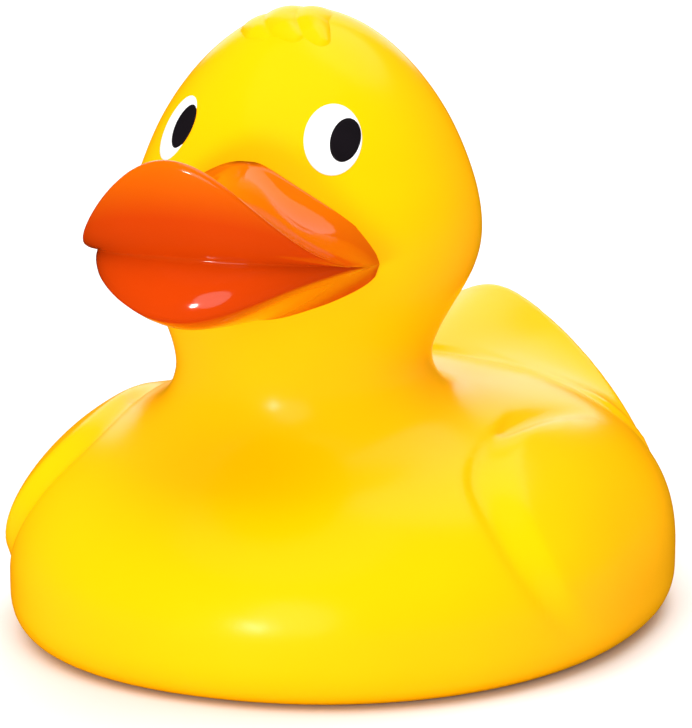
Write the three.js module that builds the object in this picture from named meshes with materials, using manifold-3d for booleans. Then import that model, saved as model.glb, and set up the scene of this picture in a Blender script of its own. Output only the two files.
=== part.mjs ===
// A bath duck: one hollow shell of soft vinyl, with a squeaker pressed into the hole in its flat base.
// Millimetres. +X is the duck's left, +Y its tail, +Z up. The origin is on the ground, under its middle.

import * as THREE from 'three';
import { ParametricGeometry } from 'three/addons/geometries/ParametricGeometry.js';
import { mergeVertices } from 'three/addons/utils/BufferGeometryUtils.js';
import Module from 'manifold-3d';

const wasm = await Module();
wasm.setup();

// ---------------------------------------------------------------- driving dimensions

const WALL = 2.4;
const REACH = 130; // longer than any ray from inside the duck to its skin
const TRUNK_CENTRE = [0, -12, 14];
const NECK_LEVEL = 45; // below this the skin is seen whole from the trunk's centre, above it from the head's

const BODY = {
  halfWidth: 49.1,
  chest: 57, // from the widest section forward
  rear: 58.4,
  plan: 2.12, // exponent of the outline seen from above
  beltHeight: 9.6, // height of the widest level
  chestRise: 30.9,
  backRise: 28.3,
  chestRound: 2.02,
  backRound: 2.35,
  drop: 42,
  dropRound: 2.5,
  backStart: -15,
  backLength: 32,
  footRound: 7,
  foot: 0.6, // the rounded base runs this far below the ground before it is cut flat
};

const HEAD = { y: -15.5, z: 66.8, width: 26, depth: 25, crown: 29, chin: 22, cheek: 0.17, blendHeight: 14 };
const NECK = { y: -17, radius: 18.8, headBlend: 8, bodyBlend: 9, endBlend: 6 };
// a wedge that rises from a crease across the back to a tent-shaped rim over the rear
const TAIL = {
  halfWidth: 34,
  startY: 30, // the wedge runs on into the body to here
  footZ: 6,
  creaseY: 38,
  creaseZ: 36.2,
  creaseSlope: 0.3, // how fast the crease falls to either side
  fallStart: 22, // from here outwards it falls away into the flank
  fall: 0.05,
  rimY: 65.2,
  rimBend: 0.0205, // how fast the rim comes forward to either side
  rimZ: 40.3,
  rimSlope: 0.6,
  rimRound: 1.2,
  peakRadius: 5,
  flute: 0.9, // depth of the hollow on either side of the middle
  fluteWidth: 9,
  tuck: 0.013, // how fast the rear goes in under the rim
};
// a raised pad on each flank
const WING = {
  rise: 1.5,
  creaseX: 29.6, // where its top meets the back, at its front corner
  creaseY: -15.5,
  flare: 0.14, // how fast that line runs outwards to the rear
  frontY: -29.6,
  frontZ: 19.5, // height at which the front edge reaches furthest forward
  frontCurve: 0.045,
  cornerReach: 5.3,
  cornerHeight: 13.4,
  fadeY: 26, // it is flush with the flank from here back
  fadeLength: 40,
  softness: 4,
};
// the lobes of hair, each lying on the head along a line turned from straight back
const CREST = [
  { at: [-6.8, -21.6, 92.6], halfWidth: 2, halfLength: 3, turn: 0.7, height: 0.9 },
  { at: [-1.3, -21.4, 94.4], halfWidth: 2.7, halfLength: 6, turn: 0.42, height: 1.5 },
  { at: [3.4, -21.2, 94.1], halfWidth: 2.8, halfLength: 6.2, turn: 0.3, height: 1.5 },
];
const CREST_ROOT = 0.8; // how deep each lobe is set into the head

const MOUTH = { x: 18.9, y: -33.3, z: 61.8 }; // the corner of the bill, on either cheek
// The bill's five edges, each running round from corner to corner. reach is how far ahead of the corners
// it comes at the middle, and height is its level there; swell and droop bend it between middle and corner.
const BROW_EDGE = { reach: 4.9, reachPower: 0.8, swell: -0.95, height: 76.2, heightPower: 0.46, droop: 0.8 };
const RIM = { reach: 31.8, reachPower: 2.6, swell: 2.7, height: 81.7, heightPower: 6.8, droop: 1.9 };
const LIP_LINE = { reach: 27, reachPower: 3.6, swell: 3.4, height: 65.8, heightPower: 1.3, droop: 0.1 };
const CHIN_EDGE = { reach: 30.2, reachPower: 2.2, swell: 0.3, height: 56.4, heightPower: 8.5, droop: 0.8 };
const THROAT_EDGE = { reach: -1.5, reachPower: 0.9, swell: -1.1, height: 52.8, heightPower: 0.4, droop: -2 };
// how far each face bows out from the straight line between its two edges, as a share of that line
const BOW = { saddle: -0.17, upperLip: 0.11, lowerLip: 0.15, jaw: 0.02 };
const BILL_ROOT = 7; // how far the bill runs on into the head
const BILL_STEPS = 32;
const BILL_POCKET = { y: -41, z: 62.5, halfWidth: 11, halfLength: 10, halfHeight: 5 };

const SQUEAKER = {
  y: -8,
  recessRadius: 10.5,
  recessDepth: 1.8,
  bossRadius: 12.5,
  holeRadius: 7.2,
  flangeRadius: 9.6,
  flangeThickness: 1.2,
  neckRadius: 6.8,
  barbRadius: 7.9,
  barbHeight: 3,
  tubeRadius: 6.2,
  boreRadius: 3.8,
  grooveRadius: 4.9,
  grooveDepth: 1.2,
  capThickness: 1.4,
  airHoleRadius: 2.1,
  height: 15,
  tongueWidth: 3,
  tongueLength: 5,
  slot: 0.4,
};
const GAP = 0.3; // clearance between pieces that meet

// ---------------------------------------------------------------- blended distances

function smoothMin(a, b, radius) {
  const h = THREE.MathUtils.clamp(0.5 + (0.5 * (b - a)) / radius, 0, 1);
  return b * (1 - h) + a * h - radius * h * (1 - h);
}

function smoothMax(a, b, radius) {
  return -smoothMin(-a, -b, radius);
}

function power(u, v, exponent) {
  return (Math.abs(u) ** exponent + Math.abs(v) ** exponent) ** (1 / exponent);
}

// distance past the surface where a scale function reaches 1, along the ray from the shape's centre
function pastSurface(x, y, z, scale) {
  return Math.hypot(x, y, z) * (1 - 1 / Math.max(scale, 1e-3));
}

// ---------------------------------------------------------------- the shapes that blend into the shell

// the boat-shaped body, with a full chest and a flat base
function body(x, y, z) {
  const reach = y < 0 ? BODY.chest : BODY.rear;
  const plan = power(x / BODY.halfWidth, y / reach, BODY.plan);
  const back = THREE.MathUtils.smoothstep(y, BODY.backStart, BODY.backStart + BODY.backLength);
  const rise = THREE.MathUtils.lerp(BODY.chestRise, BODY.backRise, back);
  const round = THREE.MathUtils.lerp(BODY.chestRound, BODY.backRound, back);
  const up = z - BODY.beltHeight;
  const scale = up > 0 ? power(plan, up / rise, round) : power(plan, up / BODY.drop, BODY.dropRound);
  return smoothMax(pastSurface(x, y, up, scale), -z - BODY.foot, BODY.footRound);
}

// how far the wing stands out from the flank
function wingRelief(x, y, z) {
  const outwards = THREE.MathUtils.clamp(y - WING.creaseY, -12, 30) * WING.flare;
  const outboard = Math.abs(x) - WING.creaseX - outwards;
  const above = z - WING.frontZ;
  const corner = WING.cornerReach * (Math.max(above, 0) / WING.cornerHeight) ** 6;
  const behind = y - WING.frontY - WING.frontCurve * above * above - corner;
  const top = THREE.MathUtils.smoothstep(outboard, -1, WING.softness);
  const front = THREE.MathUtils.smoothstep(behind, -1, WING.softness);
  const foot = THREE.MathUtils.smoothstep(z, 1, 14);
  const rear = THREE.MathUtils.smoothstep(WING.fadeY - y, 0, WING.fadeLength);
  return WING.rise * top * front * foot * rear;
}

// an egg, widest at the cheeks
function head(x, y, z) {
  const forward = y - HEAD.y;
  const up = z - HEAD.z;
  const crown = THREE.MathUtils.smoothstep(up, -HEAD.blendHeight, HEAD.blendHeight);
  const height = THREE.MathUtils.lerp(HEAD.chin, HEAD.crown, crown);
  const cheek = 1 - HEAD.cheek * THREE.MathUtils.clamp(up / HEAD.crown, -1.3, 1.3);
  const scale = Math.hypot(x / (HEAD.width * cheek), forward / (HEAD.depth * cheek), up / height);
  return pastSurface(x, forward, up, scale);
}

function neck(x, y, z) {
  const side = Math.hypot(x, y - NECK.y) - NECK.radius;
  return smoothMax(smoothMax(side, z - HEAD.z, NECK.endBlend), BODY.beltHeight - z, NECK.endBlend);
}

// the body, neck and head run into one another
function figure(trunk) {
  return (x, y, z) => {
    const top = smoothMin(head(x, y, z), neck(x, y, z), NECK.headBlend);
    return smoothMin(trunk(x, y, z), top, NECK.bodyBlend);
  };
}

const skin = figure((x, y, z) => body(x, y, z) - wingRelief(x, y, z));
const plainSkin = figure(body);

// ---------------------------------------------------------------- geometry into solids and back

function toSolid(geometry) {
  const bare = geometry.clone();
  bare.deleteAttribute('normal');
  bare.deleteAttribute('uv');
  const merged = mergeVertices(bare, 1e-4);
  const vertProperties = new Float32Array(merged.attributes.position.array);
  const triVerts = new Uint32Array(merged.index.array);
  return new wasm.Manifold(new wasm.Mesh({ numProp: 3, vertProperties, triVerts }));
}

function toGeometry(solid) {
  const mesh = solid.getMesh();
  const geometry = new THREE.BufferGeometry();
  geometry.setAttribute('position', new THREE.BufferAttribute(mesh.vertProperties, 3));
  geometry.setIndex(new THREE.BufferAttribute(mesh.triVerts, 1));
  geometry.computeVertexNormals();
  return geometry;
}

function heading(azimuth, rise) {
  const level = Math.cos(rise);
  return new THREE.Vector3(level * Math.cos(azimuth), level * Math.sin(azimuth), Math.sin(rise));
}

// the point where a ray from a centre inside a field leaves it
function leaves(field, centre, ray) {
  const at = (t) => field(centre.x + ray.x * t, centre.y + ray.y * t, centre.z + ray.z * t);
  let outside = 1;
  while (at(outside) < 0 && outside < REACH) outside += 1;
  let inside = outside - 1;
  for (let halving = 0; halving < 24; halving += 1) {
    const middle = (inside + outside) / 2;
    if (at(middle) < 0) inside = middle;
    else outside = middle;
  }
  return centre.clone().addScaledVector(ray, inside);
}

// rings seen from the trunk's centre up to the neck, then on from the head's centre to the crown
function blownFigure(field, around, lowRings, highRings) {
  const trunkCentre = new THREE.Vector3(...TRUNK_CENTRE);
  const headCentre = new THREE.Vector3(0, HEAD.y, HEAD.z);
  const neckCentre = new THREE.Vector3(0, NECK.y, NECK_LEVEL);
  const place = (u, v, target) => {
    const rim = leaves(field, neckCentre, heading(2 * Math.PI * u, 0));
    const ring = Math.round(v * (lowRings + highRings));
    const isLow = ring < lowRings;
    const centre = isLow ? trunkCentre : headCentre;
    const toRim = rim.sub(centre);
    const rimRise = Math.atan2(toRim.z, Math.hypot(toRim.x, toRim.y));
    const start = ring === 0 ? -Math.PI / 2 : -0.8;
    const rise = isLow
      ? THREE.MathUtils.lerp(start, rimRise, ring / lowRings)
      : THREE.MathUtils.lerp(rimRise, Math.PI / 2, (ring - lowRings) / highRings);
    target.copy(leaves(field, centre, heading(Math.atan2(toRim.y, toRim.x), rise)));
  };
  return toSolid(new ParametricGeometry(place, around, lowRings + highRings));
}

function joined(solids) {
  return solids.reduce((whole, solid) => whole.add(solid));
}

function turned(profile, segments = 40) {
  const points = profile.map(([radius, height]) => new THREE.Vector2(radius, height));
  const geometry = new THREE.LatheGeometry(points, segments).rotateX(Math.PI / 2);
  return toSolid(geometry.translate(0, SQUEAKER.y, 0));
}

function disc(radius, low, high) {
  return turned([[0, low], [radius, low], [radius, high], [0, high]]);
}

// ---------------------------------------------------------------- the bill

// a point of an edge at an angle round the mouth, where 0 is dead ahead and a right angle is a corner
function edgePoint(edge, angle) {
  const ahead = Math.max(Math.cos(angle), 0);
  const between = Math.sin(2 * angle) ** 2;
  const reach = MOUTH.x + (edge.reach - MOUTH.x) * ahead ** edge.reachPower + edge.swell * between;
  const height = MOUTH.z + (edge.height - MOUTH.z) * ahead ** edge.heightPower + edge.droop * between;
  return new THREE.Vector2(reach, height);
}

// the points from one edge up to the next, bowed to the left of the way they run
function face(from, to, bow, steps) {
  const along = new THREE.Vector2().subVectors(to, from);
  const left = new THREE.Vector2(-along.y, along.x);
  const points = [];
  for (let step = 0; step < steps; step += 1) {
    const t = step / steps;
    points.push(from.clone().addScaledVector(along, t).addScaledVector(left, 4 * bow * t * (1 - t)));
  }
  return points;
}

// the closed section at an angle, from the brow over the rim and round the chin to the throat
function billSection(angle) {
  const [brow, rim, lipLine, chin, throat] = [BROW_EDGE, RIM, LIP_LINE, CHIN_EDGE, THROAT_EDGE].map(
    (edge) => edgePoint(edge, angle),
  );
  const root = Math.min(brow.x, throat.x) - BILL_ROOT * Math.cos(angle);
  return [
    ...face(brow, rim, BOW.saddle * Math.cos(angle), 4),
    ...face(rim, lipLine, BOW.upperLip, 4),
    ...face(lipLine, chin, BOW.lowerLip, 4),
    ...face(chin, throat, BOW.jaw, 3),
    throat,
    new THREE.Vector2(root, throat.y),
    new THREE.Vector2(root, brow.y),
  ];
}

// the sections from one corner of the mouth round to the other
function bill() {
  const points = billSection(0).length;
  const place = (u, v, target) => {
    const angle = Math.PI * (v - 0.5);
    const { x: reach, y: height } = billSection(angle)[Math.round(u * points) % points];
    target.set(reach * Math.sin(angle), MOUTH.y - reach * Math.cos(angle), height);
  };
  return toSolid(new ParametricGeometry(place, points, BILL_STEPS));
}

// ---------------------------------------------------------------- the pieces

// one upright section of the tail, from inside the body up the ramp, over the rim and down the rear
function tailSection(x, inset) {
  const side = Math.hypot(x, TAIL.peakRadius) - TAIL.peakRadius;
  const fall = TAIL.fall * Math.max(side - TAIL.fallStart, 0) ** 2;
  const crease = new THREE.Vector2(TAIL.creaseY, TAIL.creaseZ - TAIL.creaseSlope * side - fall - inset);
  const rim = new THREE.Vector2(
    TAIL.rimY - TAIL.rimBend * x * x - inset,
    TAIL.rimZ - TAIL.rimSlope * side - 1.5 * inset,
  );
  const flute = TAIL.flute * THREE.MathUtils.smoothstep(side, 0, TAIL.fluteWidth);
  const ramp = [0, 0.25, 0.5, 0.75].map((t) => {
    const point = new THREE.Vector2().lerpVectors(crease, rim, t);
    point.y -= flute * Math.sin(Math.PI * t);
    return point;
  });
  const rear = [0, 0.2, 0.4, 0.6, 0.8, 1].map((t) => {
    const z = THREE.MathUtils.lerp(rim.y - TAIL.rimRound, TAIL.footZ, t);
    return new THREE.Vector2(rim.x - TAIL.tuck * (rim.y - z) ** 2, z);
  });
  const roundedRim = new THREE.Vector2(rim.x - TAIL.rimRound, rim.y - 0.2 * TAIL.rimRound);
  const start = new THREE.Vector2(TAIL.startY, TAIL.footZ);
  return [start, new THREE.Vector2(TAIL.startY, crease.y), ...ramp, roundedRim, ...rear];
}

// the sections from the left flank to the right, drawn in to a point inside the body at each end
function tail(inset) {
  const points = tailSection(0, inset).length;
  const steps = 28;
  const halfWidth = TAIL.halfWidth - 4 * inset;
  const place = (u, v, target) => {
    const x = halfWidth * (1 - 2 * v);
    const isEnd = v === 0 || v === 1;
    const point = tailSection(x, inset)[Math.round(u * points) % points];
    target.set(x, isEnd ? TAIL.startY : point.x, isEnd ? 2 * TAIL.footZ : point.y);
  };
  return toSolid(new ParametricGeometry(place, points, steps));
}

function crest() {
  const headCentre = new THREE.Vector3(0, HEAD.y, HEAD.z);
  return CREST.map(({ at, halfWidth, halfLength, turn, height }) => {
    const place = new THREE.Vector3(...at);
    const out = place.clone().sub(headCentre).normalize();
    const tilt = new THREE.Quaternion().setFromUnitVectors(new THREE.Vector3(0, 0, 1), out);
    const root = place.addScaledVector(out, -CREST_ROOT);
    const geometry = new THREE.SphereGeometry(1, 16, 10).scale(halfWidth, halfLength, height + CREST_ROOT);
    return toSolid(geometry.rotateZ(turn).applyQuaternion(tilt).translate(root.x, root.y, root.z));
  });
}

function groundBelow(level) {
  return toSolid(new THREE.BoxGeometry(200, 200, 40).translate(0, 0, level - 20));
}

function outerForm() {
  return joined([blownFigure(skin, 64, 28, 13), tail(0), bill(), ...crest()]);
}

function airChamber() {
  const { y, z, halfWidth, halfLength, halfHeight } = BILL_POCKET;
  const pocket = new THREE.SphereGeometry(1, 16, 8).rotateX(Math.PI / 2).scale(halfWidth, halfLength, halfHeight);
  const inside = blownFigure((...at) => plainSkin(...at) + WALL, 36, 16, 8);
  return joined([inside, tail(WALL), toSolid(pocket.translate(0, y, z))]).subtract(groundBelow(WALL));
}

function duckBody() {
  const { recessRadius, recessDepth, bossRadius, holeRadius } = SQUEAKER;
  const shell = outerForm().subtract(airChamber()).add(disc(bossRadius, 0, recessDepth + WALL));
  const standing = shell.subtract(groundBelow(0));
  return standing.subtract(disc(recessRadius, -1, recessDepth)).subtract(disc(holeRadius, -1, 10));
}

// a flanged tube with a barb that holds it in the hole, and a groove for the reed under its cap
function squeakerHousing() {
  const { flangeRadius, flangeThickness, neckRadius, barbRadius, barbHeight, tubeRadius, height } = SQUEAKER;
  const { boreRadius, grooveRadius, grooveDepth, capThickness, airHoleRadius, recessDepth } = SQUEAKER;
  const base = recessDepth - GAP - flangeThickness;
  const barb = recessDepth + WALL + GAP;
  const cap = height - capThickness;
  return turned([
    [boreRadius, base],
    [flangeRadius, base],
    [flangeRadius, base + flangeThickness],
    [neckRadius, base + flangeThickness],
    [neckRadius, barb],
    [barbRadius, barb],
    [tubeRadius, barb + barbHeight],
    [tubeRadius, height],
    [airHoleRadius, height],
    [airHoleRadius, cap],
    [grooveRadius, cap],
    [grooveRadius, cap - grooveDepth],
    [boreRadius, cap - grooveDepth],
    [boreRadius, base],
  ]);
}

// a thin disc with a tongue cut free on three sides, which buzzes as air goes past it
function squeakerReed() {
  const { grooveRadius, grooveDepth, capThickness, height, tongueWidth, tongueLength, slot } = SQUEAKER;
  const outer = tongueWidth / 2 + slot;
  const inner = tongueWidth / 2;
  const back = -tongueLength / 2;
  const front = tongueLength / 2;
  const shape = new THREE.Shape().absarc(0, 0, grooveRadius - GAP, 0, 2 * Math.PI);
  const cut = new THREE.Path().setFromPoints(
    [
      [-outer, back],
      [-outer, front + slot],
      [outer, front + slot],
      [outer, back],
      [inner, back],
      [inner, front],
      [-inner, front],
      [-inner, back],
    ].map(([x, y]) => new THREE.Vector2(x, y)),
  );
  shape.holes.push(cut);
  const depth = grooveDepth - 2 * GAP;
  const geometry = new THREE.ExtrudeGeometry(shape, { depth, bevelEnabled: false, curveSegments: 20 });
  return toSolid(geometry.translate(0, SQUEAKER.y, height - capThickness - grooveDepth + GAP));
}

// ---------------------------------------------------------------- the duck

const vinyl = new THREE.MeshStandardMaterial({ name: 'vinyl_yellow', color: '#ffd900', roughness: 0.5 });
const plastic = new THREE.MeshStandardMaterial({ name: 'squeaker_plastic', color: '#f2f0e8', roughness: 0.4 });
const film = new THREE.MeshStandardMaterial({ name: 'reed_film', color: '#dcdcd4', roughness: 0.3 });

function piece(name, solid, material) {
  const mesh = new THREE.Mesh(toGeometry(solid), material);
  mesh.name = name;
  return mesh;
}

const duck = new THREE.Group();
duck.name = 'rubber_duck';
duck.add(piece('duck_body', duckBody(), vinyl));
duck.add(piece('squeaker_housing', squeakerHousing(), plastic));
duck.add(piece('squeaker_reed', squeakerReed(), film));

export default duck;
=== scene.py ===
import math
from collections import namedtuple
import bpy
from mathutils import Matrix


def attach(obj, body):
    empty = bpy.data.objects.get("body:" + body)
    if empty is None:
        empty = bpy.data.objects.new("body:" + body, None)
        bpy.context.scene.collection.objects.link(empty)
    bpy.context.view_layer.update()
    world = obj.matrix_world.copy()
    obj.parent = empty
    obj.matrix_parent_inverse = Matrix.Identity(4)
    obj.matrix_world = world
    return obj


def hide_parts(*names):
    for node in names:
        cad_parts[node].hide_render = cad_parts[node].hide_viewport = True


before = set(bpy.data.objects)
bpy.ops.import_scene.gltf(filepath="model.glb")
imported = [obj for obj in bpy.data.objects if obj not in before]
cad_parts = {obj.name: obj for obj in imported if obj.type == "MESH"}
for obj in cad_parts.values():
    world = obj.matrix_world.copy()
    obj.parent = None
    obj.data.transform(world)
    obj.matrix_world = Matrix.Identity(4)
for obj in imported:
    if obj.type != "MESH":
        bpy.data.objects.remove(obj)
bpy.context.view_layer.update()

from types import SimpleNamespace as Sizes

import bpy
import numpy as np
from mathutils import Vector

MM = 0.001

# A bath duck of soft vinyl. Its shape is worked out in millimetres, with +X to the duck's left, +Y to its
# tail, +Z up and the origin on the ground under its middle. The stage and its lights are in metres.

# ---------------------------------------------------------------- camera

CAMERA = Sizes(
    azimuth=22.34,  # degrees round from straight ahead of the duck, towards its left
    elevation=12.10,
    distance=608.65,
    target=(0.0, 0.0, 39.02),
    lens=195.6375,
    sensor_height=36.0,
    near=0.05,  # metres
    far=20.0,
)


def make_camera():
    azimuth, elevation = math.radians(CAMERA.azimuth), math.radians(CAMERA.elevation)
    level = math.cos(elevation)
    back = Vector((math.sin(azimuth) * level, -math.cos(azimuth) * level, math.sin(elevation)))
    data = bpy.data.cameras.new("camera")
    data.sensor_fit = "VERTICAL"
    data.sensor_height = CAMERA.sensor_height
    data.lens = CAMERA.lens
    data.clip_start, data.clip_end = CAMERA.near, CAMERA.far
    camera = bpy.data.objects.new("camera", data)
    bpy.context.scene.collection.objects.link(camera)
    camera.location = (Vector(CAMERA.target) + back * CAMERA.distance) * MM
    camera.rotation_mode = "QUATERNION"
    camera.rotation_quaternion = (-back).to_track_quat("-Z", "Y")
    bpy.context.scene.camera = camera


make_camera()

# ---------------------------------------------------------------- sizes of the shell, in millimetres

WALL = 2.4
CREASE_ROOM = 0.6  # the wall is thicker by this, to stay sound behind the wings' creases

BODY = Sizes(
    half_width=49.6,
    chest=57.0,  # from the widest section forward
    rear=58.4,
    plan=2.12,  # exponent of the outline seen from above
    belt_height=9.6,  # height of the widest level
    chest_rise=30.9,
    back_fall=2.6,  # how much lower the back is than the chest
    chest_round=2.02,  # exponent of the section over the chest
    back_squarer=0.33,  # what is added to it over the back
    drop=42.0,
    drop_round=2.5,
    back_start=-15.0,
    back_end=17.0,
    foot_round=6.5,
)
# a raised pad on each flank; a pair of numbers is where something starts to show, and where it is whole
WING = Sizes(
    rise=1.7,
    top_x=29.6,  # its top edge meets the back here, at its front corner
    top_y=-15.5,
    flare=0.14,  # how fast that edge runs outwards to the rear
    flare_ahead=-12,  # it flares from this far ahead of the corner
    flare_behind=30,  # to this far behind
    top_fade=(-0.8, 3.8),
    front_y=-29.6,
    front_z=19.5,  # height at which the front edge reaches furthest forward
    front_curve=0.045,
    corner_reach=5.3,
    corner_height=13.4,
    front_start=-0.8,
    front_end=2.4,
    front_softer=5.0,  # near its foot the front edge fades in over this much more
    softer_below=14,
    softer_depth=10.0,
    foot_fade=(1.0, 19.0),
    rear_end=26,  # it is flush with the flank from here back
    rear_length=40.0,
    dish=0.9,  # how far the middle of the pad is hollowed
    dish_fade=(5, 26),
    dish_top=30,
    dish_depth=12,
)
CREASE = Sizes(depth=1.0, middle=-0.3, width=2.2, fade=(-2, 6))  # along the top edge of the wing
GROOVE = Sizes(depth=0.75, middle=-1.7, width=1.6, fade=(-2, 3))  # down its front edge

TAIL = Sizes(
    start_y=33,  # the wedge runs on into the body to here
    foot_z=6,
    crease_y=38,
    crease_z=36.2,
    crease_slope=0.3,  # how fast the crease across the back falls to either side
    fall_start=22,  # from here outwards it falls away into the flank
    fall=0.05,
    rim_y=65.9,
    rim_bend=0.0205,  # how fast the rim comes forward to either side
    rim_z=40.3,
    rim_slope=0.6,
    peak_radius=5.0,
    shortest=4,  # the least length of the ramp from crease to rim
    ramp_start=-0.5,  # it climbs from here to ramp_end, as shares of that length, and is level past them
    ramp_end=1.3,
    flute=0.9,  # depth of the hollow on either side of the middle
    flute_width=9,
    tuck=0.013,  # how fast the rear goes in under the rim
    slant=0.95,  # turns heights over the sloping faces into distances from them
    edge_blend=2.0,
)
HEAD = Sizes(
    y=-15.54,
    z=66.85,
    half_width=26.05,
    half_length=24.93,
    chin=22.0,
    crown_gain=6.95,  # how much further the crown is from the middle than the chin
    blend_height=14,
    cheek=0.168,  # how much narrower it is at cheek_level over its middle, and wider as far under
    cheek_level=27,
    cheek_limit=1.3,
)
NECK = Sizes(y=-17.15, radius=18.8, end_blend=6.0)
BLEND = Sizes(tail=1.5, tail_inside=4.0, throat=8.0, shoulders=9.0)

# the hole that the squeaker is pressed into
SQUEAKER = Sizes(
    y=-8.0,
    boss_radius=12.5,
    boss_height=4.2,
    recess_radius=10.5,
    recess_height=1.8,
    hole_radius=7.2,
    hole_height=10,
)

# ---------------------------------------------------------------- the shell as a field, below 0 in vinyl


def smooth_min(a, b, radius):
    h = np.clip(0.5 + 0.5 * (b - a) / radius, 0, 1)
    return b * (1 - h) + a * h - radius * h * (1 - h)


def smooth_max(a, b, radius):
    return -smooth_min(-a, -b, radius)


def fade(value, start, end):
    """0 up to start, 1 from end on, and smooth between."""
    s = np.clip((value - start) / (end - start), 0, 1)
    return s * s * (3 - 2 * s)


def power(u, v, exponent):
    return (np.abs(u) ** exponent + np.abs(v) ** exponent) ** (1 / exponent)


def past_surface(x, y, z, scale):
    """Distance past the surface where scale reaches 1, along the ray from the shape's middle."""
    return np.sqrt(x * x + y * y + z * z + 1e-12) * (1 - 1 / np.maximum(scale, 1e-3))


def body(x, y, z):
    """The boat-shaped body, with a full chest and a rounded foot."""
    reach = np.where(y < 0, BODY.chest, BODY.rear)
    plan = power(x / BODY.half_width, y / reach, BODY.plan)
    back = fade(y, BODY.back_start, BODY.back_end)
    rise = BODY.chest_rise - BODY.back_fall * back
    up = z - BODY.belt_height
    over = power(plan, up / rise, BODY.chest_round + BODY.back_squarer * back)
    under = power(plan, up / BODY.drop, BODY.drop_round)
    scale = np.where(up > 0, over, under)
    return smooth_max(past_surface(x, y, up, scale), -z, BODY.foot_round)


def ridge(distance, line):
    """1 on the line of a crease or groove, and nothing away from it."""
    return np.exp(-((distance - line.middle) / line.width) ** 2)


def wing_height(x, y, z):
    """How far the wing stands out from the flank, less the crease along its top and the groove before it."""
    flare = WING.flare * np.clip(y - WING.top_y, WING.flare_ahead, WING.flare_behind)
    outboard = np.abs(x) - WING.top_x - flare
    over = z - WING.front_z
    corner = WING.corner_reach * (np.maximum(over, 0) / WING.corner_height) ** 6
    behind = y - WING.front_y - WING.front_curve * over ** 2 - corner
    softer = WING.front_softer * fade(WING.softer_below - z, 0, WING.softer_depth)
    top = fade(outboard, *WING.top_fade)
    front = fade(behind, WING.front_start, WING.front_end + softer)
    foot = fade(z, *WING.foot_fade)
    rear = fade(WING.rear_end - y, 0, WING.rear_length)
    dish = WING.dish * fade(behind, *WING.dish_fade) * fade(WING.dish_top - z, 0, WING.dish_depth)
    crease = CREASE.depth * ridge(outboard, CREASE) * fade(behind, *CREASE.fade) * rear
    groove = GROOVE.depth * ridge(behind, GROOVE) * fade(outboard, *GROOVE.fade) * foot
    return (WING.rise - dish) * top * front * foot * rear - crease - groove


def tail(x, y, z):
    """A wedge that rises from a crease across the back to a tent-shaped rim."""
    side = np.sqrt(x * x + TAIL.peak_radius ** 2) - TAIL.peak_radius
    rim_y = TAIL.rim_y - TAIL.rim_bend * x * x
    rim_z = TAIL.rim_z - TAIL.rim_slope * side
    fall = TAIL.fall * np.maximum(side - TAIL.fall_start, 0) ** 2
    crease_z = TAIL.crease_z - TAIL.crease_slope * side - fall
    length = np.maximum(rim_y - TAIL.crease_y, TAIL.shortest)
    along = np.clip((y - TAIL.crease_y) / length, TAIL.ramp_start, TAIL.ramp_end)
    flute = TAIL.flute * np.sin(np.pi * np.clip(along, 0, 1)) * fade(side, 0, TAIL.flute_width)
    ramp = crease_z + (rim_z - crease_z) * along - flute
    rear = rim_y - TAIL.tuck * np.maximum(rim_z - z, 0) ** 2
    wedge = smooth_max((z - ramp) * TAIL.slant, (y - rear) * TAIL.slant, TAIL.edge_blend)
    return smooth_max(wedge, np.maximum(TAIL.start_y - y, TAIL.foot_z - z), TAIL.edge_blend)


def head(x, y, z):
    """An egg, narrower towards the crown."""
    behind, up = y - HEAD.y, z - HEAD.z
    cheek = 1 - HEAD.cheek * np.clip(up / HEAD.cheek_level, -HEAD.cheek_limit, HEAD.cheek_limit)
    height = HEAD.chin + HEAD.crown_gain * fade(up, -HEAD.blend_height, HEAD.blend_height)
    across, along = x / (HEAD.half_width * cheek), behind / (HEAD.half_length * cheek)
    return past_surface(x, behind, up, np.sqrt(across ** 2 + along ** 2 + (up / height) ** 2))


def neck(x, y, z):
    """An upright column from the body's widest level to the middle of the head."""
    side = np.sqrt(x * x + (y - NECK.y) ** 2) - NECK.radius
    return smooth_max(smooth_max(side, z - HEAD.z, NECK.end_blend), BODY.belt_height - z, NECK.end_blend)


def with_head(low, x, y, z):
    upper = smooth_min(head(x, y, z), neck(x, y, z), BLEND.throat)
    return smooth_min(low, upper, BLEND.shoulders)


def skin(x, y, z):
    """The outside of the duck, flat on the ground."""
    trunk = body(x, y, z) - wing_height(x, y, z)
    low = smooth_min(trunk, tail(x, y, z), BLEND.tail)
    return np.maximum(with_head(low, x, y, z), -z)


def air_space(x, y, z):
    low = smooth_min(body(x, y, z), tail(x, y, z), BLEND.tail_inside)
    return np.maximum(with_head(low, x, y, z) + WALL + CREASE_ROOM, WALL - z)


def shell(x, y, z):
    """The vinyl wall, with the squeaker's recess and hole through the thicker boss in the base."""
    ring = np.hypot(x, y - SQUEAKER.y)
    boss = np.maximum(ring - SQUEAKER.boss_radius, z - SQUEAKER.boss_height)
    recess = np.maximum(ring - SQUEAKER.recess_radius, z - SQUEAKER.recess_height)
    hole = np.maximum(ring - SQUEAKER.hole_radius, z - SQUEAKER.hole_height)
    chamber = np.maximum(air_space(x, y, z), -boss)
    return np.maximum(skin(x, y, z), -np.minimum(chamber, np.minimum(recess, hole)))


# ---------------------------------------------------------------- meshes

SKIN_CELL = 1.0
SKIN_LOW, SKIN_HIGH = (-54, -61, -1.5), (54, 71, 99)  # a box with room round the shell, without its bill
SETTLE_ROUNDS = 3


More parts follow.
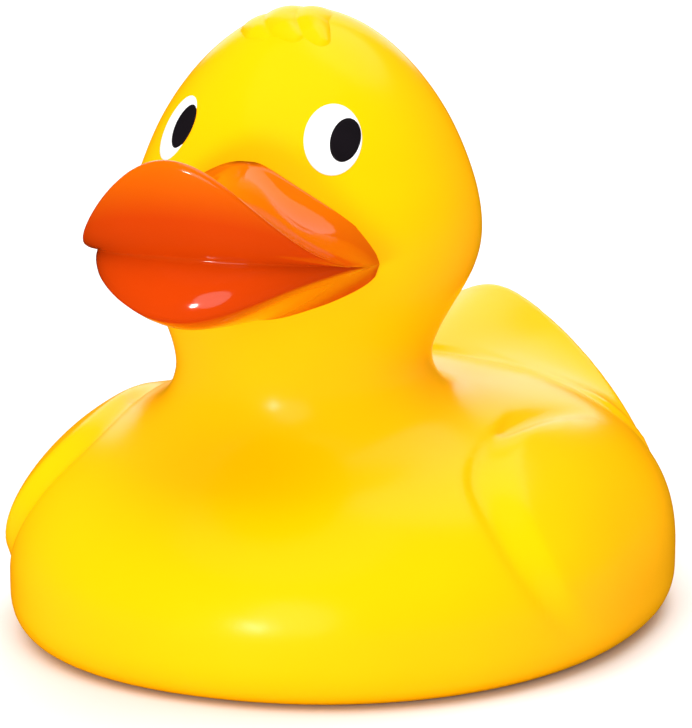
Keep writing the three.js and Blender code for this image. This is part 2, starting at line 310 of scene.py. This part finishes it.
def surface_net(field, low, high, cell):
    """Closed quads round field < 0, with a point in each cell of a grid that the surface crosses."""
    axes = [np.arange(a, b + cell, cell) for a, b in zip(low, high)]
    shape = tuple(len(a) for a in axes)
    f = np.empty(shape, np.float32)
    for k, z in enumerate(axes[2]):
        x, y = np.meshgrid(axes[0], axes[1], indexing="ij")
        f[:, :, k] = field(x, y, np.full_like(x, z))
    cells = tuple(n - 1 for n in shape)
    total, count = edge_crossings(f, cells)
    used = count > 0
    number = np.full(cells, -1, np.int64)
    number[used] = np.arange(used.sum())
    start = np.array([a[0] for a in axes])
    points = (np.argwhere(used) + total[used] / count[used][:, None]) * cell + start
    return settle(field, points.astype(np.float64), cell), grid_quads(f < 0, number)


def edge_crossings(f, cells):
    """For each cell, the sum of the places where the surface crosses its twelve edges, and their number."""
    total = np.zeros(cells + (3,), np.float32)
    count = np.zeros(cells, np.int16)

    def values_at(corner):
        return f[tuple(slice(c, c + n) for c, n in zip(corner, cells))]

    for a in [(i, j, k) for i in (0, 1) for j in (0, 1) for k in (0, 1)]:
        for axis in range(3):
            if a[axis]:
                continue
            b = tuple(v + (n == axis) for n, v in enumerate(a))
            fa, fb = values_at(a), values_at(b)
            cut = (fa < 0) != (fb < 0)
            t = np.where(cut, fa / np.where(cut, fa - fb, 1), 0)
            for n in range(3):
                at = a[n] + (t if n == axis else 0)
                total[..., n] += np.where(cut, at, 0)
            count += cut
    return total, count


def grid_quads(inside, number):
    """A quad for each edge of the grid that the surface crosses, joining the points of its four cells."""
    shape = inside.shape
    quads = []
    for axis in range(3):
        u, v = [n for n in range(3) if n != axis]
        if axis == 1:
            u, v = v, u
        first = [slice(1, n - 1) for n in shape]
        second = list(first)
        first[axis], second[axis] = slice(0, shape[axis] - 1), slice(1, shape[axis])
        a, b = inside[tuple(first)], inside[tuple(second)]
        for leaving in (True, False):
            here = np.argwhere((a & ~b) if leaving else (~a & b))
            base = here + np.array([0 if n == axis else 1 for n in range(3)])
            ring = []
            for du, dv in ((-1, -1), (0, -1), (0, 0), (-1, 0)):
                index = base.copy()
                index[:, u] += du
                index[:, v] += dv
                ring.append(number[index[:, 0], index[:, 1], index[:, 2]])
            quad = np.stack(ring, 1)
            quads.append(quad if leaving else quad[:, ::-1])
    return np.concatenate(quads)


def gradient(field, points):
    """How fast the field grows along each axis."""
    half_step = 0.05
    slope = np.empty_like(points)
    for n in range(3):
        after, before = points.copy(), points.copy()
        after[:, n] += half_step
        before[:, n] -= half_step
        slope[:, n] = (field(*after.T) - field(*before.T)) / (2 * half_step)
    return slope


def settle(field, points, cell):
    """The points moved onto the surface, in a few rounds of up to half a cell each."""
    for _ in range(SETTLE_ROUNDS):
        slope = gradient(field, points)
        steepness = np.maximum((slope * slope).sum(1), 1e-3)[:, None]
        move = -field(*points.T)[:, None] * slope / steepness
        size = np.linalg.norm(move, axis=1)[:, None]
        points = points + move * np.minimum(1, 0.5 * cell / np.maximum(size, 1e-9))
    return points


def make_mesh(name, points, faces):
    mesh = bpy.data.meshes.new(name)
    mesh.from_pydata((np.asarray(points) * MM).tolist(), [], [list(map(int, f)) for f in faces])
    mesh.validate()
    mesh.update()
    mesh.shade_smooth()
    piece = bpy.data.objects.new(name, mesh)
    bpy.context.scene.collection.objects.link(piece)
    return piece


def tube_mesh(rings):
    """A closed surface through rings of equal numbers of points, each end shut to a point."""
    rings = np.asarray(rings)
    count, around = rings.shape[:2]
    points = rings.reshape(-1, 3)
    start, end = len(points), len(points) + 1
    points = np.vstack([points, rings[0].mean(0), rings[-1].mean(0)])
    i, j = np.meshgrid(np.arange(count - 1), np.arange(around), indexing="ij")
    k = (j + 1) % around
    quads = np.stack([i * around + j, i * around + k, (i + 1) * around + k, (i + 1) * around + j], -1)
    faces = quads.reshape(-1, 4).tolist()
    faces += [[start, (n + 1) % around, n] for n in range(around)]
    last = (count - 1) * around
    faces += [[end, last + n, last + (n + 1) % around] for n in range(around)]
    return points, faces


# ---------------------------------------------------------------- the bill

MOUTH = Sizes(x=18.9, y=-33.3, z=61.8)  # the corner of the bill, on either cheek
# The bill's five edges, each running round from corner to corner. reach is how far ahead of the corners
# it comes at the middle, and height is its level there; swell and droop bend it between middle and corner.
Edge = namedtuple("Edge", "reach reach_power swell height height_power droop")
BROW = Edge(4.9, 0.8, -0.95, 76.2, 0.46, 0.8)
RIM = Edge(31.8, 2.6, 2.7, 81.7, 6.8, 1.9)
LIPS = Edge(27.0, 3.6, 3.4, 65.8, 1.3, 0.1)
CHIN = Edge(30.2, 2.2, 0.3, 56.4, 8.5, 0.8)
THROAT = Edge(-1.5, 0.9, -1.1, 52.8, 0.4, -2.0)
# how far each face bows out from the straight line between its two edges, as a share of that line
BOW = Sizes(saddle=-0.17, upper_lip=0.11, lower_lip=0.15, jaw=0.02)
STEPS = Sizes(saddle=26, upper_lip=22, lower_lip=18, jaw=14)  # points along each face of a section
BILL_ROOT = 7  # how far the bill runs on into the head
BILL_SECTIONS = 181
ROUNDING_PASSES = 9


def edge_point(edge, angle):
    """Where an edge is at an angle from straight ahead: its distance from the middle, and its height."""
    ahead = max(math.cos(angle), 0)
    between = math.sin(2 * angle) ** 2
    return np.array([
        MOUTH.x + (edge.reach - MOUTH.x) * ahead ** edge.reach_power + edge.swell * between,
        MOUTH.z + (edge.height - MOUTH.z) * ahead ** edge.height_power + edge.droop * between,
    ])


def bowed(a, b, bow, count):
    """Points from a up to but not including b, on a line bowed out to its left."""
    t = np.linspace(0, 1, count + 1)[:-1, None]
    along = b - a
    left = np.array([-along[1], along[0]])
    return a + along * t + left * 4 * bow * t * (1 - t)


def rounded(points, corners):
    """The ring with each listed corner and its two neighbours drawn in a little, to round the edge."""
    out = points.copy()
    for _ in range(ROUNDING_PASSES):
        before, after = np.roll(out, 1, 0), np.roll(out, -1, 0)
        for corner in corners:
            for n in (corner - 1, corner, corner + 1):
                out[n] = 0.5 * out[n] + 0.25 * (before[n] + after[n])
    return out


def bill_section(angle):
    """One upright section: over the saddle, down the lips, back along the jaw and up inside the head."""
    brow, rim, lips, chin, throat = [edge_point(e, angle) for e in (BROW, RIM, LIPS, CHIN, THROAT)]
    root = min(brow[0], throat[0]) - BILL_ROOT * math.cos(angle)
    ring = np.vstack([
        bowed(brow, rim, BOW.saddle * math.cos(angle), STEPS.saddle),
        bowed(rim, lips, BOW.upper_lip, STEPS.upper_lip),
        bowed(lips, chin, BOW.lower_lip, STEPS.lower_lip),
        bowed(chin, throat, BOW.jaw, STEPS.jaw),
        throat[None],
        [[root, throat[1]]],
        [[root, brow[1]]],
    ])
    rim_at = STEPS.saddle
    chin_at = rim_at + STEPS.upper_lip + STEPS.lower_lip
    return rounded(ring, (rim_at, chin_at))


def make_bill():
    rings = []
    for angle in np.radians(np.linspace(-90, 90, BILL_SECTIONS)):
        out, height = bill_section(angle).T
        rings.append(np.stack([out * math.sin(angle), MOUTH.y - out * math.cos(angle), height], 1))
    return make_mesh("duck_bill", *tube_mesh(rings))


# ---------------------------------------------------------------- what lies on the head

HEAD_MIDDLE = np.array([0, HEAD.y, HEAD.z])
HEAD_RADIUS = 26.0
SHEET_RADIUS = 27  # how far from the head's middle a sheet has its flat size
SEARCH_NEAR, SEARCH_FAR = 5.0, 60.0  # the head's skin lies between these distances from its middle
SEARCH_HALVINGS = 40


def unit(vectors):
    return vectors / np.linalg.norm(vectors, axis=-1, keepdims=True)


def on_head(directions, lift):
    """The points over the head's skin in directions from its middle."""
    near, far = np.full(len(directions), SEARCH_NEAR), np.full(len(directions), SEARCH_FAR)
    for _ in range(SEARCH_HALVINGS):
        middle = (near + far) / 2
        points = HEAD_MIDDLE + directions * middle[:, None]
        is_clear = skin(*points.T) > 0
        far = np.where(is_clear, middle, far)
        near = np.where(is_clear, near, middle)
    return HEAD_MIDDLE + directions * (near + lift)[:, None]


# the painted ovals: azimuth is degrees from straight ahead to the duck's left, height is above the ground
# and tilt is in radians
Oval = namedtuple("Oval", "azimuth height half_width half_height tilt lift")
EYES = {
    "eye_white_left": Oval(33.5, 80.2, 4.7, 6.1, -0.23, 0.12),
    "eye_pupil_left": Oval(38.3, 80.0, 2.4, 3.85, -0.42, 0.22),
    "eye_white_right": Oval(-40.7, 80.2, 4.0, 5.7, 0.0, 0.12),
    "eye_pupil_right": Oval(-36.0, 80.6, 2.4, 3.85, 0.02, 0.22),
}
OVAL_POINTS = 64
OVAL_RINGS = (0.02, 0.2, 0.4, 0.6, 0.8, 0.93, 1.0)  # as shares of the oval's size
OVAL_ROOT = -0.6  # its underside is hidden this deep in the head


def make_oval(name, oval):
    """A thin oval that follows the head: rings out over its top, and back in along its underside."""
    azimuth, up = math.radians(oval.azimuth), oval.height - HEAD.z
    level = math.sqrt(HEAD_RADIUS ** 2 - up * up)
    middle = unit(np.array([math.sin(azimuth) * level, -math.cos(azimuth) * level, up]))
    right = unit(np.cross([0, 0, 1.0], middle))
    above = np.cross(middle, right)
    turn = np.linspace(0, 2 * math.pi, OVAL_POINTS + 1)[:-1]
    rings = []
    for lift, spread in ((oval.lift, OVAL_RINGS), (OVAL_ROOT, OVAL_RINGS[::-1])):
        for share in spread:
            u = oval.half_width * share * np.cos(turn)
            v = oval.half_height * share * np.sin(turn)
            a = u * math.cos(oval.tilt) - v * math.sin(oval.tilt)
            b = u * math.sin(oval.tilt) + v * math.cos(oval.tilt)
            directions = unit(middle * SHEET_RADIUS + np.outer(a, right) + np.outer(b, above))
            is_top_edge = share == 1.0 and lift > 0
            rings.append(on_head(directions, 0.5 * lift if is_top_edge else lift))
    points, faces = tube_mesh(rings)
    return make_mesh(name, points, [face[::-1] for face in faces])


TUFT_MIDDLE = np.array([-1.0, -21.0, 94.3])
# top and root are how far its two faces lie from the head's skin where there is no lobe
TUFT_SHEET = Sizes(half_width=9.4, back=-9.6, front=6.2, cell=0.2, top=-0.3, root=-1.3)
# Each lobe of hair is a stroke over the crown, from the back to the front. At each of its stops are the
# distance to the left, the distance forward, the half width and the height.
TUFT_STROKES = (
    (
        (-5.4, -8.0, 2.6, 0.0),
        (-6.2, -4.0, 2.8, 0.5),
        (-5.4, -0.6, 2.5, 0.8),
        (-3.8, 2.2, 2.2, 0.9),
        (-1.6, 4.0, 1.3, 0.5),
    ),
    (
        (-1.8, -8.5, 3.6, 0.0),
        (-1.8, -4.0, 3.5, 0.8),
        (-1.0, -0.6, 3.0, 1.0),
        (0.6, 2.0, 2.6, 1.1),
        (2.9, 3.8, 1.7, 0.8),
    ),
    (
        (2.2, -8.5, 3.4, 0.0),
        (2.8, -4.0, 3.2, 0.8),
        (3.8, -0.6, 2.8, 1.0),
        (5.2, 1.6, 2.6, 1.1),
        (6.9, 3.2, 1.8, 0.8),
    ),
)
DOMES_PER_STROKE = 49
DOME_ROUNDNESS = 0.8


def tuft_height(u, v):
    """Height of the tuft over the crown: the highest of the domes set along each stroke."""
    height = np.zeros_like(u)
    for stroke in TUFT_STROKES:
        stops = np.array(stroke)
        for at in np.linspace(0, len(stops) - 1, DOMES_PER_STROKE):
            left, forward, half_width, tall = [np.interp(at, np.arange(len(stops)), s) for s in stops.T]
            near = ((u - left) ** 2 + (v - forward) ** 2) / half_width ** 2
            height = np.maximum(height, tall * np.maximum(1 - near, 0) ** DOME_ROUNDNESS)
    return height


def make_tuft():
    """The lobes of hair on the crown, as one sheet that runs on under the head's skin all round."""
    middle = unit(TUFT_MIDDLE - HEAD_MIDDLE)
    left = unit(np.cross(middle, [0, -1.0, 0]))
    forward = np.cross(left, middle)
    us = np.arange(-TUFT_SHEET.half_width, TUFT_SHEET.half_width, TUFT_SHEET.cell)
    vs = np.arange(TUFT_SHEET.back, TUFT_SHEET.front, TUFT_SHEET.cell)
    u, v = [g.ravel() for g in np.meshgrid(us, vs, indexing="ij")]
    directions = unit(middle * SHEET_RADIUS + np.outer(u, left) + np.outer(v, forward))
    top = on_head(directions, tuft_height(u, v) + TUFT_SHEET.top)
    under = on_head(directions, np.full(len(u), TUFT_SHEET.root))
    lower = len(u)
    cell = np.arange(lower).reshape(len(us), len(vs))
    quads = np.stack([cell[:-1, :-1], cell[1:, :-1], cell[1:, 1:], cell[:-1, 1:]], -1).reshape(-1, 4)
    rim = np.concatenate([cell[:, 0], cell[-1, 1:], cell[-2::-1, -1], cell[0, -2:0:-1]])
    after = np.roll(rim, -1)
    wall = np.stack([rim, rim + lower, after + lower, after], 1)
    faces = np.concatenate([quads, quads[:, ::-1] + lower, wall])
    return make_mesh("crown_tuft", np.vstack([top, under]), faces[:, ::-1])


# ---------------------------------------------------------------- materials

BLOTCH_START, BLOTCH_END = 0.35, 0.65
BLOTCH_DETAIL, GRAIN_DETAIL = 4, 2
GLOSS_SPREAD = 0.04  # how far the roughness wanders either way
GRAIN_FINENESS = 25  # how many times finer the grain is than the blotches
GRAIN_DEPTH = 0.00005  # metres


def material(name, colour, deep, scale, rough, grain, ior=1.45, slope=None):
    """Plastic with faint blotches between two colours, gloss that wanders a little, and a fine grain."""
    m = bpy.data.materials.new(name)
    m.use_nodes = True
    nodes, links = m.node_tree.nodes, m.node_tree.links
    shader = nodes["Principled BSDF"]
    shader.inputs["IOR"].default_value = ior
    place = nodes.new("ShaderNodeTexCoord")
    blotches = nodes.new("ShaderNodeTexNoise")
    blotches.inputs["Scale"].default_value = scale
    blotches.inputs["Detail"].default_value = BLOTCH_DETAIL
    links.new(place.outputs["Object"], blotches.inputs["Vector"])
    ramp = nodes.new("ShaderNodeValToRGB")
    first, last = ramp.color_ramp.elements
    first.position, last.position = BLOTCH_START, BLOTCH_END
    first.color, last.color = (*deep, 1), (*colour, 1)
    links.new(blotches.outputs["Fac"], ramp.inputs["Fac"])
    links.new(ramp.outputs["Color"], shader.inputs["Base Color"])
    gloss = nodes.new("ShaderNodeMapRange")
    gloss.inputs["To Min"].default_value = rough - GLOSS_SPREAD
    gloss.inputs["To Max"].default_value = rough + GLOSS_SPREAD
    links.new(blotches.outputs["Fac"], gloss.inputs["Value"])
    links.new(gloss.outputs["Result"], shader.inputs["Roughness"])
    fine = nodes.new("ShaderNodeTexNoise")
    fine.inputs["Scale"].default_value = scale * GRAIN_FINENESS
    fine.inputs["Detail"].default_value = GRAIN_DETAIL
    links.new(place.outputs["Object"], fine.inputs["Vector"])
    bumps = nodes.new("ShaderNodeBump")
    bumps.inputs["Strength"].default_value = grain
    bumps.inputs["Distance"].default_value = GRAIN_DEPTH
    links.new(fine.outputs["Fac"], bumps.inputs["Height"])
    links.new(bumps.outputs["Normal"], shader.inputs["Normal"])
    # a slope paints light and shade into the base colour
    if slope:
        add_painted_light(nodes, links, place, ramp, shader, slope)
    return m


def add_painted_light(nodes, links, place, ramp, shader, slope):
    """Paints light and shade into the base colour along a slope, rise and run being its change per metre
    upwards and backwards.
    """
    along = nodes.new("ShaderNodeVectorMath")
    along.operation = "DOT_PRODUCT"
    along.inputs[1].default_value = (0, slope.run, slope.rise)
    links.new(place.outputs["Object"], along.inputs[0])
    shift = nodes.new("ShaderNodeMath")
    shift.operation = "ADD"
    shift.inputs[1].default_value = slope.offset
    links.new(along.outputs["Value"], shift.inputs[0])
    # the painted light and shade, as a ramp of tints along the slope
    painted_light_ramp = nodes.new("ShaderNodeValToRGB")
    while len(painted_light_ramp.color_ramp.elements) < len(slope.tints):
        painted_light_ramp.color_ramp.elements.new(0.5)
    for element, (at, colour) in zip(painted_light_ramp.color_ramp.elements, slope.tints):
        element.position = at
        element.color = (*colour, 1)
    links.new(shift.outputs["Value"], painted_light_ramp.inputs["Fac"])
    mix = nodes.new("ShaderNodeMix")
    mix.data_type = "RGBA"
    mix.blend_type = "MULTIPLY"
    mix.inputs["Factor"].default_value = 1.0
    links.new(ramp.outputs["Color"], mix.inputs["A"])
    links.new(painted_light_ramp.outputs["Color"], mix.inputs["B"])
    links.new(mix.outputs["Result"], shader.inputs["Base Color"])


# painted light and shade on the bill: deep orange low and forward, where shade falls, and more golden high
# up and towards the head, where the light falls
BILL_PAINTED_LIGHT = Sizes(
    rise=50,
    run=25,
    offset=-1.6,
    tints=(
        (0.0, (0.5, 0.038, 0.001)),
        (0.4, (0.5, 0.04, 0.001)),
        (0.6, (0.56, 0.08, 0.001)),
        (1.0, (0.7, 0.14, 0.001)),
    ),
)

VINYL = material("vinyl_yellow", (1.0, 0.445, 0.0), (1.0, 0.43, 0.0), 30, 0.22, 0.15, ior=1.17)
# the bill's orange has painted light and shade multiplied into it
ORANGE = material(
    "bill_orange", (1.0, 1.0, 1.0), (0.96, 0.95, 0.9), 40, 0.09, 0.1, ior=1.3, slope=BILL_PAINTED_LIGHT
)
WHITE = material("eye_white", (0.9, 0.9, 0.89), (0.87, 0.87, 0.86), 60, 0.35, 0.1)
BLACK = material("eye_black", (0.005, 0.004, 0.005), (0.008, 0.006, 0.008), 60, 0.3, 0.1, ior=1.1)
PLASTIC = material("squeaker_plastic", (0.85, 0.84, 0.79), (0.8, 0.79, 0.74), 60, 0.4, 0.2)
FILM = material("reed_film", (0.75, 0.75, 0.72), (0.7, 0.7, 0.68), 60, 0.3, 0.2)

# ---------------------------------------------------------------- the pieces


def finish_piece(piece, mat):
    piece.data.materials.append(mat)
    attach(piece, "root")
    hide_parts("duck_body")


duck_skin = make_mesh("duck_skin", *surface_net(shell, SKIN_LOW, SKIN_HIGH, SKIN_CELL))
finish_piece(duck_skin, VINYL)
finish_piece(make_bill(), ORANGE)
finish_piece(make_tuft(), VINYL)
for name, oval in EYES.items():
    if name.startswith("eye_white"):
        finish_piece(make_oval(name, oval), WHITE)
    else:
        finish_piece(make_oval(name, oval), BLACK)

# the squeaker's two pieces keep their CAD shapes
for node, mat in (("squeaker_housing", PLASTIC), ("squeaker_reed", FILM)):
    mesh = bpy.data.objects[node].data
    mesh.materials.clear()
    mesh.materials.append(mat)

# ---------------------------------------------------------------- stage, in metres and watts

FLOOR_HALF_SIZE = 3.0
WORLD_STRENGTH = 0.6
LIGHT_TARGET = (0, 0, 0.05)
SUN = Sizes(towards=(-0.05, -0.35, 1.0), spread=60, strength=2.4)
Lamp = namedtuple("Lamp", "place size power")
LAMPS = {
    "front": Lamp((-0.1, -1.7, 0.12), 0.22, 11),
    "fill": Lamp((0.3, -1.6, 0.35), 0.9, 9),
    "above": Lamp((0.25, 0.45, 1.15), 1.0, 6),
    "behind": Lamp((-0.6, 1.45, 0.75), 1.5, 8),
}


def make_floor():
    corners = np.array([[-1, -1, 0], [1, -1, 0], [1, 1, 0], [-1, 1, 0]]) * FLOOR_HALF_SIZE / MM
    floor = make_mesh("floor", corners, [[0, 1, 2, 3]])
    pale = material("floor_white", (0.74, 0.74, 0.745), (0.73, 0.73, 0.735), 2, 0.9, 0.05, ior=1.0)
    floor.data.materials.append(pale)
    floor.visible_glossy = False


def make_world():
    world = bpy.data.worlds.new("studio")
    world.use_nodes = True
    background = world.node_tree.nodes["Background"]
    background.inputs["Color"].default_value = (1, 1, 1, 1)
    background.inputs["Strength"].default_value = WORLD_STRENGTH
    world.cycles_visibility.glossy = False
    bpy.context.scene.world = world


def add_light(data, axis, direction):
    light = bpy.data.objects.new(data.name, data)
    bpy.context.scene.collection.objects.link(light)
    light.rotation_mode = "QUATERNION"
    light.rotation_quaternion = direction.to_track_quat(axis, "Y")
    return light


def make_sun():
    data = bpy.data.lights.new("overhead", "SUN")
    data.angle = math.radians(SUN.spread)
    data.energy = SUN.strength
    sun = add_light(data, "Z", Vector(SUN.towards))
    sun.visible_glossy = False


def make_lamp(name, lamp):
    data = bpy.data.lights.new(name, "AREA")
    data.shape = "DISK"
    data.size = lamp.size
    data.energy = lamp.power
    light = add_light(data, "-Z", Vector(LIGHT_TARGET) - Vector(lamp.place))
    light.location = lamp.place


make_floor()
make_world()
make_sun()
for name, lamp in LAMPS.items():
    make_lamp(name, lamp)
bpy.context.scene.view_settings.view_transform = "Standard"
